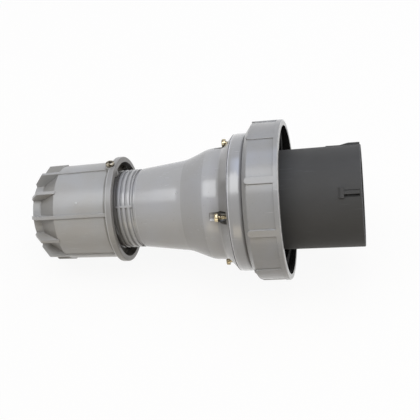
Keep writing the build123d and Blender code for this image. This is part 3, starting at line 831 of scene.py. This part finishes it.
SLOT_FINISHES: dict[Slot, Finish] = {
    Slot.HOUSING: PlasticFinish(
        "satin_housing_grey", (0.341, 0.341, 0.351), (0.327, 0.321, 0.312), (0.46, 0.46, 0.47),
        # the fourth colour serves dust specks and painted shade; the pocket value paints shade in the
        # screw pockets
        (0.055, 0.048, 0.040), roughness=0.15, specular=0.68, coarse=1.1, bump=0.35, pocket_shade=0.75,
        # painted highlights on the edge at the shoulder behind the thread and on the lip by the flange,
        # broken up like rubbed wear
        edges=(TurnedEdge(91.7, 33.6, 0.7), TurnedEdge(173.2, 57.3, 0.6)),
        shade_bands=(
            # painted shade in the thread grooves, on the neck inside the nut's mouth, on the collar
            # strip, on the flare and on the barrel by the flange
            ShadeBand(30.0, 87.0, 20.0, 32.6, 0.26), ShadeBand(20.0, 76.2, 20.0, 34.4, 0.72, soft=3.2),
            ShadeBand(165.2, 173.6, 46.0, 57.6, 0.24), ShadeBand(131.8, 151.0, 36.0, 58.0, 0.13),
            ShadeBand(160.0, 178.0, 46.0, 58.0, 0.15, soft=7.0),
        ),
    ),
    Slot.NUT: PlasticFinish(
        "satin_nut_grey", (0.330, 0.330, 0.332), (0.315, 0.305, 0.288), (0.44, 0.44, 0.44),
        (0.075, 0.065, 0.05), roughness=0.26, coarse=1.5, bump=0.6,
        # painted highlights on the rim's rear edge and on an edge at the rear end, broken up like rubbed
        # wear
        edges=(TurnedEdge(69.9, 45.1, 1.0), TurnedEdge(6.8, 29.4, 0.5)),
        shade_bands=(
            # painted shade where the rim meets the body, inside the mouth, on the rim's face and outer
            # wall, in the bore and on the rear pocket floors
            ShadeBand(66.0, 68.4, 20.0, 41.0, 0.92), ShadeBand(68.4, 74.9, 20.0, 41.0, 0.6),
            ShadeBand(74.9, 76.0, 40.0, 46.0, 0.6), ShadeBand(70.8, 75.2, 43.5, 46.5, 0.33),
            ShadeBand(66.9, 69.9, 40.0, 41.7, 0.55, soft=0.8), ShadeBand(-1.0, 60.0, 10.0, 27.4, 0.5),
            ShadeBand(6.0, 22.8, 20.0, 29.2, 0.4, slope=0.683),
        ),
    ),
    Slot.FLANGE: PlasticFinish(
        "glossy_flange_grey", (0.252, 0.252, 0.260), (0.245, 0.241, 0.237), (0.56, 0.56, 0.58),
        (0.10, 0.09, 0.08), roughness=0.2, coarse=1.4, bump=0.2, specular=0.6, coat=0.9,
        # painted highlight along the flange's rear edge, broken up like rubbed wear
        coat_roughness=0.17, edges=(TurnedEdge(173.8, 57.2, 1.1),), crown=Crown(179.2, 6.0, 0.7),
    ),
    Slot.RING: PlasticFinish(
        "satin_ring_grey", (0.261, 0.262, 0.266), (0.249, 0.244, 0.235), (0.50, 0.495, 0.48),
        # the near-black fourth colour paints the ring's inside in shade
        (0.005, 0.004, 0.003), roughness=0.18, coarse=1.3, bump=0.4, soft_edge=0.45,
        # painted highlights on the front rim's outer and inner edges and on the rear edge, broken up
        # like rubbed wear
        edges=(TurnedEdge(214.8, 66.0, 0.9), TurnedEdge(214.8, 61.9, 0.6), TurnedEdge(186.0, 65.2, 1.5)),
        # painted shade, nearly black, inside the ring
        shade_bands=(ShadeBand(189.0, 214.4, 40.0, 62.1, 0.97),),
    ),
    Slot.SHROUD: PlasticFinish(
        "satin_shroud_dark", (0.060, 0.059, 0.058), (0.055, 0.054, 0.052), (0.10, 0.10, 0.103),
        (0.020, 0.019, 0.018), roughness=0.55, coarse=1.2, bump=0.35, specular=0.12,
        # painted highlights on the shroud's front edges, broken up like rubbed wear
        edges=(TurnedEdge(275.7, 41.6, 0.6), TurnedEdge(276.0, 38.25, 0.5)),
        # painted shade inside the shroud
        shade_bands=(ShadeBand(190.0, 275.2, 20.0, 38.5, 0.6),),
    ),
    Slot.BLOCK: PlasticFinish(
        "insulating_black", (0.036, 0.036, 0.037), (0.030, 0.029, 0.028), (0.08, 0.08, 0.08),
        (0.015, 0.014, 0.013), roughness=0.5, coarse=1.6, bump=0.5,
    ),
    Slot.GLAND: PlasticFinish(
        "gland_black", (0.050, 0.050, 0.050), (0.042, 0.041, 0.040), (0.11, 0.11, 0.11),
        (0.02, 0.019, 0.018), roughness=0.4, coarse=1.0, bump=0.3,
    ),
    Slot.RUBBER: RubberFinish("seal_rubber", (0.020, 0.020, 0.021), (0.034, 0.033, 0.032), 0.62),
    Slot.CONTACT: MetalFinish(
        "contact_brass", (0.78, 0.66, 0.40), (0.58, 0.46, 0.26), roughness=0.24, patch_scale=0.12,
        turned_lines=0.3,
    ),
    Slot.SCREW_BRASS: MetalFinish(
        "screw_brass", (0.50, 0.43, 0.29), (0.075, 0.055, 0.032), roughness=0.13, patch_scale=0.45,
        patch_soft=0.13,
    ),
    Slot.SCREW_STEEL: MetalFinish(
        "screw_steel", (0.60, 0.60, 0.60), (0.42, 0.41, 0.39), roughness=0.3, patch_scale=0.4,
    ),
}
LOCK_BRONZE = MetalFinish(
    "lock_screw_bronze", (0.40, 0.36, 0.29), (0.035, 0.028, 0.02), roughness=0.11, patch_scale=0.4,
    patch_soft=0.13,
)
# painted highlight: the gate marks are paler than the plastic round them, so that each small dome reads
# as a light dot
GATE_HIGHLIGHT = PlasticFinish(
    "gate_spot_painted_highlight", (0.47, 0.47, 0.475), (0.45, 0.445, 0.44), (0.55, 0.55, 0.55),
    (0.2, 0.19, 0.18), roughness=0.3, coarse=1.5, bump=0.2,
)


class Bench:
    """Shapes one piece at a time with the modelling operators."""

    # How squarely an end faces along Z, the steps in a turn of thread, half a ridge's width in pitches.
    FACING = 0.9
    THREAD_STEPS = 24
    THREAD_FOOT = 0.42

    def __init__(self, space: PlugSpace) -> None:
        """A bench that works in the plug's own millimetres."""
        self.space = space

    @staticmethod
    def clear() -> None:
        """Leaves edit mode and deselects everything."""
        if bpy.context.mode != "OBJECT":
            bpy.ops.object.mode_set(mode="OBJECT")
        bpy.ops.object.select_all(action="DESELECT")

    @staticmethod
    def choose(piece: Object) -> None:
        """Makes a piece the only selected and active one.

        Args:
            piece: the piece.
        """
        Bench.clear()
        piece.select_set(True)
        bpy.context.view_layer.objects.active = piece

    def rod(self, radius: float, start: float, end: float, sides: int = 48) -> Object:
        """A round bar along Z.

        Args:
            radius: its radius.
            start: its lower end.
            end: its upper end.
            sides: the number of faces round it.

        Returns:
            The bar.
        """
        self.clear()
        bpy.ops.mesh.primitive_cylinder_add(
            vertices=sides, radius=radius, depth=end - start, location=(0.0, 0.0, (start + end) / 2)
        )
        bpy.ops.object.transform_apply()
        return bpy.context.active_object

    def bar(self, size: Sequence[float], centre: Sequence[float]) -> Object:
        """A box.

        Args:
            size: its size along X, Y and Z.
            centre: its middle.

        Returns:
            The box.
        """
        self.clear()
        bpy.ops.mesh.primitive_cube_add(size=1.0, location=centre)
        piece = bpy.context.active_object
        piece.scale = size
        bpy.ops.object.transform_apply()
        return piece

    def round_rim(self, piece: Object, end: End, width: float, steps: int) -> None:
        """Bevels the rim of a piece's flat end.

        Args:
            piece: the piece to shape.
            end: which end.
            width: the bevel's width.
            steps: its segments.
        """
        self.choose(piece)
        bpy.ops.object.mode_set(mode="EDIT")
        bpy.ops.mesh.select_mode(type="FACE")
        bpy.ops.mesh.select_all(action="DESELECT")
        bpy.ops.object.mode_set(mode="OBJECT")
        for face in piece.data.polygons:
            face.select = face.normal.z * end.value > self.FACING
        bpy.ops.object.mode_set(mode="EDIT")
        bpy.ops.mesh.region_to_loop()
        bpy.ops.mesh.bevel(offset=width, segments=steps, affect="EDGES")
        bpy.ops.object.mode_set(mode="OBJECT")

    def cut(self, piece: Object, tool: Object) -> None:
        """Cuts a tool's shape out of a piece, and removes the tool.

        Args:
            piece: the piece to shape.
            tool: the tool.
        """
        self.choose(piece)
        change = piece.modifiers.new("cut", "BOOLEAN")
        change.operation = "DIFFERENCE"
        change.solver = "EXACT"
        change.object = tool
        bpy.ops.object.modifier_apply(modifier=change.name)
        bpy.data.objects.remove(tool, do_unlink=True)

    def fuse(self, piece: Object, others: Sequence[Object]) -> None:
        """Joins other pieces into one.

        Args:
            piece: the piece that stays.
            others: the pieces that go into it.
        """
        self.choose(piece)
        for other in others:
            other.select_set(True)
        bpy.ops.object.join()

    def thread(self, radius: float, height: float, pitch: float, start: float, turns: float) -> Object:
        """A closed helical ridge round Z.

        Args:
            radius: the radius of the ridge's foot.
            height: how far it stands out.
            pitch: its rise in one turn.
            start: where it starts along Z.
            turns: how many turns it has.

        Returns:
            The ridge.
        """
        self.clear()
        half = pitch * self.THREAD_FOOT
        tip = (radius + height, 0.0, start)
        corners = [(radius, 0.0, start - half), tip, (radius, 0.0, start + half)]
        mesh = bpy.data.meshes.new("ridge")
        mesh.from_pydata(corners, [(0, 1), (1, 2), (2, 0)], [])
        piece = bpy.data.objects.new("ridge", mesh)
        bpy.context.scene.collection.objects.link(piece)
        self.choose(piece)
        change = piece.modifiers.new("wind", "SCREW")
        change.axis = "Z"
        change.steps = change.render_steps = round(self.THREAD_STEPS * turns)
        change.angle = math.tau * turns
        change.screw_offset = pitch * turns
        change.use_merge_vertices = False
        bpy.ops.object.modifier_apply(modifier=change.name)
        bpy.ops.object.mode_set(mode="EDIT")
        bpy.ops.mesh.select_all(action="SELECT")
        bpy.ops.mesh.fill_holes(sides=3)
        bpy.ops.mesh.normals_make_consistent(inside=False)
        bpy.ops.object.mode_set(mode="OBJECT")
        return piece

    def stand(self, piece: Object, place: Matrix) -> None:
        """Moves a piece from the bench to the plug.

        Args:
            piece: the finished piece.
            place: its place in the plug's own frame.
        """
        self.choose(piece)
        piece.matrix_world = self.space.matrix() @ place
        bpy.ops.object.transform_apply()

    def smooth(self, piece: Object, angle: float = 35.0) -> None:
        """Shades a piece smooth apart from edges sharper than an angle in degrees."""
        self.choose(piece)
        bpy.ops.object.shade_smooth_by_angle(angle=math.radians(angle))


class Dresser:
    """Gives nodes and new pieces their finish, and new pieces their name and body."""

    def __init__(self, groups: ShaderGroups) -> None:
        """Builds every finish once."""
        finishes = (*SLOT_FINISHES.values(), LOCK_BRONZE, GATE_HIGHLIGHT)
        self.materials = {finish: finish.build(groups) for finish in finishes}

    def dress_nodes(self, nodes: dict, record: dict) -> None:
        """Gives every CAD node the finish of its material slot.

        Args:
            nodes: the CAD nodes by name.
            record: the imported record.
        """
        slots = {part["node"]: Slot(part["material_slot"]) for part in record["subparts"]}
        for name, node in nodes.items():
            material = self.materials[SLOT_FINISHES[slots[name]]]
            for place in node.material_slots:
                place.material = material
            log.info("node %s wears %s", name, material.name)

    def dress(self, piece: Object, name: str, body: Body, slot: Slot,
              finish: Optional[Finish] = None, replaces: Optional[str] = None) -> None:
        """Names, paints and hangs a new piece.

        Args:
            piece: the finished piece.
            name: its name.
            body: the body it rides on.
            slot: the record's slot, whose finish it wears where no other is given.
            finish: the finish it wears, where that isn't the slot's own.
            replaces: the CAD node that it stands for.
        """
        piece.name = name
        piece.data.name = name
        piece.data.materials.clear()
        piece.data.materials.append(self.materials[finish or SLOT_FINISHES[slot]])
        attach(piece, body.value)
        if replaces:
            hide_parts(replaces)
        log.info("piece %s rides on %s, %d faces", name, body.value, len(piece.data.polygons))


@dataclass(frozen=True)
class CheeseScrew:
    """A cheese-head screw: head, driving recess and threaded shank, all in millimetres.

    The shank runs up into the head by `shank_root`, and the thread's foot lies in the shank by
    `thread_sink`.
    """

    head_radius: float
    head_height: float
    head_round: float
    shank_radius: float
    shank_length: float
    drive: Drive
    slot_width: float
    slot_depth: float
    under_share: float = 0.3
    cross_share: float = 1.1
    shank_root: float = 0.3
    thread_sink: float = 0.02
    thread_height: float = 0.22
    thread_pitch: float = 0.9
    thread_start: float = 0.8
    thread_turns: float = 6.0

    def build(self, bench: Bench) -> Object:
        """The screw along Z, its head on top of the origin and its shank below.

        Args:
            bench: the bench to shape it on.

        Returns:
            The screw.
        """
        head = bench.rod(self.head_radius, 0.0, self.head_height)
        bench.round_rim(head, End.TOP, self.head_round, 5)
        bench.round_rim(head, End.BOTTOM, self.head_round * self.under_share, 2)
        tool_height = self.slot_depth + 1.0
        centre = (0.0, 0.0, self.head_height - self.slot_depth + tool_height / 2)
        slot = (self.head_radius * 3, self.slot_width, tool_height)
        bench.cut(head, bench.bar(slot, centre))
        if self.drive is Drive.CROSS:
            arm = (self.slot_width, self.head_radius * self.cross_share, tool_height)
            bench.cut(head, bench.bar(arm, centre))
        bench.smooth(head)
        shank = bench.rod(self.shank_radius, -self.shank_length, self.shank_root, 32)
        bench.smooth(shank)
        ridge = bench.thread(
            self.shank_radius - self.thread_sink, self.thread_height, self.thread_pitch,
            -self.thread_start - self.thread_pitch * self.thread_turns, self.thread_turns,
        )
        bench.smooth(ridge, 25.0)
        bench.fuse(head, [shank, ridge])
        return head


@dataclass(frozen=True)
class FlangeScrews:
    """The four exposed screws that pull the front flange to the housing."""

    seat: float = 171.6
    standoffs: tuple[float, ...] = (6.9, 10.8, 6.9, 5.0)
    first_spin: float = 35.0
    spin_step: float = 50.0
    screw: CheeseScrew = CheeseScrew(
        head_radius=3.65, head_height=3.1, head_round=0.9, shank_radius=1.5, shank_length=14.0,
        drive=Drive.SLOT, slot_width=0.95, slot_depth=1.3,
    )

    def make(self, bench: Bench, dresser: Dresser) -> None:
        """Builds one screw and stands a copy in each pocket.

        Args:
            bench: the bench to shape it on.
            dresser: what dresses the copies.
        """
        model = self.screw.build(bench)
        for i, (standoff, turn) in enumerate(zip(self.standoffs, SCREW_TURNS)):
            copy = model.copy()
            copy.data = model.data.copy()
            bpy.context.scene.collection.objects.link(copy)
            place = Matrix.Translation((self.seat - standoff, 0.0, SCREW_CIRCLE))
            spoke = Matrix.Rotation(math.radians(turn), 4, "X") @ place
            spin = Matrix.Rotation(math.radians(self.first_spin + self.spin_step * i), 4, "Z")
            bench.stand(copy, spoke @ Matrix.Rotation(-math.pi / 2, 4, "Y") @ spin)
            name = f"flange_screw_{i + 1}"
            dresser.dress(copy, f"{name}_turned", Body.PLUG, Slot.SCREW_BRASS, replaces=name)
        bpy.data.objects.remove(model, do_unlink=True)


@dataclass(frozen=True)
class NutLockScrew:
    """The screw that stands in the boss on the nut's rim."""

    along: float = 70.5
    turn: float = -23.0
    boss_top: float = 45.6
    spin: float = 25.0
    screw: CheeseScrew = CheeseScrew(
        head_radius=3.7, head_height=3.0, head_round=1.0, shank_radius=2.0, shank_length=12.0,
        drive=Drive.CROSS, slot_width=0.9, slot_depth=1.3, thread_start=0.4, thread_turns=1.0,
    )

    def make(self, bench: Bench, dresser: Dresser) -> None:
        """Builds the screw and stands it in its boss.

        Args:
            bench: the bench to shape it on.
            dresser: what dresses it.
        """
        piece = self.screw.build(bench)
        spoke = Matrix.Rotation(math.radians(self.turn), 4, "X")
        place = spoke @ Matrix.Translation((self.along, 0.0, self.boss_top))
        bench.stand(piece, place @ Matrix.Rotation(math.radians(self.spin), 4, "Z"))
        dresser.dress(
            piece, "nut_lock_screw_turned", Body.NUT, Slot.SCREW_BRASS, LOCK_BRONZE, "nut_lock_screw"
        )


@dataclass(frozen=True)
class FaceSealRidges:
    """The sealing ridges moulded on the face seal, seen from the pin end."""

    face: float = 198.1
    radii: tuple[float, ...] = (45.5, 50.2, 54.9)
    height: float = 0.7

    def make(self, bench: Bench, dresser: Dresser) -> None:
        """Builds the ridges as one piece.

        Args:
            bench: the bench to shape it on.
            dresser: what dresses it.
        """
        rings = []
        for radius in self.radii:
            bench.clear()
            bpy.ops.mesh.primitive_torus_add(
                major_radius=radius, minor_radius=self.height, major_segments=120, minor_segments=10
            )
            rings.append(bpy.context.active_object)
        piece = rings[0]
        bench.fuse(piece, rings[1:])
        bench.smooth(piece, 60.0)
        facing = Matrix.Rotation(math.pi / 2, 4, "Y")
        bench.stand(piece, Matrix.Translation((self.face, 0.0, 0.0)) @ facing)
        dresser.dress(piece, "face_seal_ridges", Body.PLUG, Slot.RUBBER)


@dataclass(frozen=True)
class GateMark:
    """The small round mark that a moulding gate leaves on a surface."""

    name: str
    body: Body
    slot: Slot
    along: float
    turn: float
    surface: float
    radius: float = 0.9
    height: float = 0.35
    sunk: float = 0.5
    dome_share: float = 0.8

    def make(self, bench: Bench, dresser: Dresser) -> None:
        """Builds the mark as a low domed disc, sunk into the surface.

        Args:
            bench: the bench to shape it on.
            dresser: what dresses it.
        """
        piece = bench.rod(self.radius, -self.sunk, self.height, 24)
        bench.round_rim(piece, End.TOP, self.height * self.dome_share, 3)
        bench.smooth(piece, 60.0)
        spoke = Matrix.Rotation(math.radians(self.turn), 4, "X")
        bench.stand(piece, spoke @ Matrix.Translation((self.along, 0.0, self.surface)))
        # the mark wears the paler finish: a painted highlight
        dresser.dress(piece, self.name, self.body, self.slot, GATE_HIGHLIGHT)


GATE_MARKS = (
    GateMark("nut_gate_mark", Body.NUT, Slot.NUT, along=43.5, turn=21.5, surface=40.84, height=0.2),
    GateMark("cone_gate_mark", Body.PLUG, Slot.HOUSING, along=128.3, turn=15.65, surface=38.25,
             radius=0.6),
)


@dataclass(frozen=True)
class Studio:
    """The pale floor, the white surroundings and the soft lamps."""

    floor_radius: float = 4.0
    floor_colour: Colour = (0.76, 0.73, 0.69)
    floor_roughness: float = 0.9
    floor_glow: float = 0.92
    sky: Colour = (0.92, 0.96, 1.06)
    ground: Colour = (1.06, 0.99, 0.88)
    ambient: float = 0.18
    pin_side: float = 0.20
    lamps: tuple[Lamp, ...] = (
        Lamp("key_lamp", NEAR_TURN - 31.0, 0.0, 1.3, 0.66, 10.6, (0.97, 0.985, 1.0)),
        Lamp("top_lamp", NEAR_TURN - 62.0, 15.0, 1.0, 0.5, 3.7, (0.60, 0.71, 1.0)),
        Lamp("pin_lamp", NEAR_TURN - 40.0, 74.0, 0.6, 0.6, 3.6, (1.0, 0.99, 0.97)),
        Lamp("low_lamp", NEAR_TURN + 48.0, 0.0, 1.0, 0.4, 1.9, (1.0, 0.86, 0.62)),
    )

    def make(self, space: PlugSpace) -> None:
        """Adds the floor, the world and the lamps.

        Args:
            space: the plug's own frame.
        """
        self._floor()
        self._world(space)
        for lamp in self.lamps:
            lamp.place(space)

    def _floor(self) -> None:
        """A pale round floor that shows nearly white to the camera and keeps the plug's shadow."""
        Bench.clear()
        bpy.ops.mesh.primitive_circle_add(vertices=96, radius=self.floor_radius, fill_type="NGON")
        floor = bpy.context.active_object
        floor.name = "pale_floor"
        material = bpy.data.materials.new("pale_floor")
        material.use_nodes = True
        nodes = Nodes(material.node_tree)
        shader = nodes.tree.nodes["Principled BSDF"]
        nodes.feed(shader, {"Base Color": self.floor_colour, "Roughness": self.floor_roughness})
        glow = nodes.add("ShaderNodeEmission")
        seen = nodes.math("MULTIPLY", self._shown(nodes), self.floor_glow)
        mix = nodes.add("ShaderNodeMixShader", {0: seen, 1: shader.outputs[0], 2: glow.outputs[0]})
        nodes.feed(nodes.tree.nodes["Material Output"], {"Surface": mix.outputs[0]})
        floor.data.materials.append(material)

    def _world(self, space: PlugSpace) -> None:
        """Soft light, brighter from the pins' side, cool from the picture's top; white to the camera.

        Args:
            space: the plug's own frame.
        """
        world = bpy.data.worlds.new("soft_studio")
        bpy.context.scene.world = world
        world.use_nodes = True
        nodes = Nodes(world.node_tree)
        nodes.tree.nodes.clear()
        way = nodes.add("ShaderNodeTexCoord").outputs["Generated"]
        height = nodes.vector("DOT_PRODUCT", way, space.axis().cross(space.spoke(NEAR_TURN)))
        pins = nodes.vector("DOT_PRODUCT", way, space.axis())
        share = nodes.math("ADD", nodes.math("MULTIPLY", height, 0.5), 0.5, clamp=True)
        strength = nodes.math("MULTIPLY", nodes.math("MAXIMUM", pins, 0.0), self.pin_side)
        ambient = nodes.add("ShaderNodeBackground", {
            "Color": nodes.blend(share, self.ground, self.sky),
            "Strength": nodes.math("ADD", strength, self.ambient),
        })
        white = nodes.add("ShaderNodeBackground", {"Color": (1.0, 1.0, 1.0)})
        sides = {0: self._shown(nodes), 1: ambient.outputs[0], 2: white.outputs[0]}
        mix = nodes.add("ShaderNodeMixShader", sides)
        nodes.add("ShaderNodeOutputWorld", {"Surface": mix.outputs[0]})

    @staticmethod
    def _shown(nodes: Nodes) -> NodeSocket:
        """Which rays show the background itself: to the camera, in gloss and through glass.

        Args:
            nodes: the nodes of the floor or the world.

        Returns:
            The socket that is 1 for those rays.
        """
        rays = nodes.add("ShaderNodeLightPath")
        shown = nodes.math("MAXIMUM", rays.outputs["Is Camera Ray"], rays.outputs["Is Glossy Ray"])
        return nodes.math("MAXIMUM", shown, rays.outputs["Is Transmission Ray"])


def main() -> None:
    """Builds the camera, the finishes, the new pieces and the studio."""
    logging.basicConfig(level=logging.INFO, format="%(message)s")
    PhotoCamera().place(SPACE)
    dresser = Dresser(ShaderGroups(SPACE))
    dresser.dress_nodes(frame["nodes"], frame["record"])
    bench = Bench(SPACE)
    for part in (FlangeScrews(), NutLockScrew(), FaceSealRidges(), *GATE_MARKS):
        part.make(bench, dresser)
    Studio().make(SPACE)
    bpy.context.scene.view_settings.view_transform = "Standard"


if __name__ == "__main__":
    main()
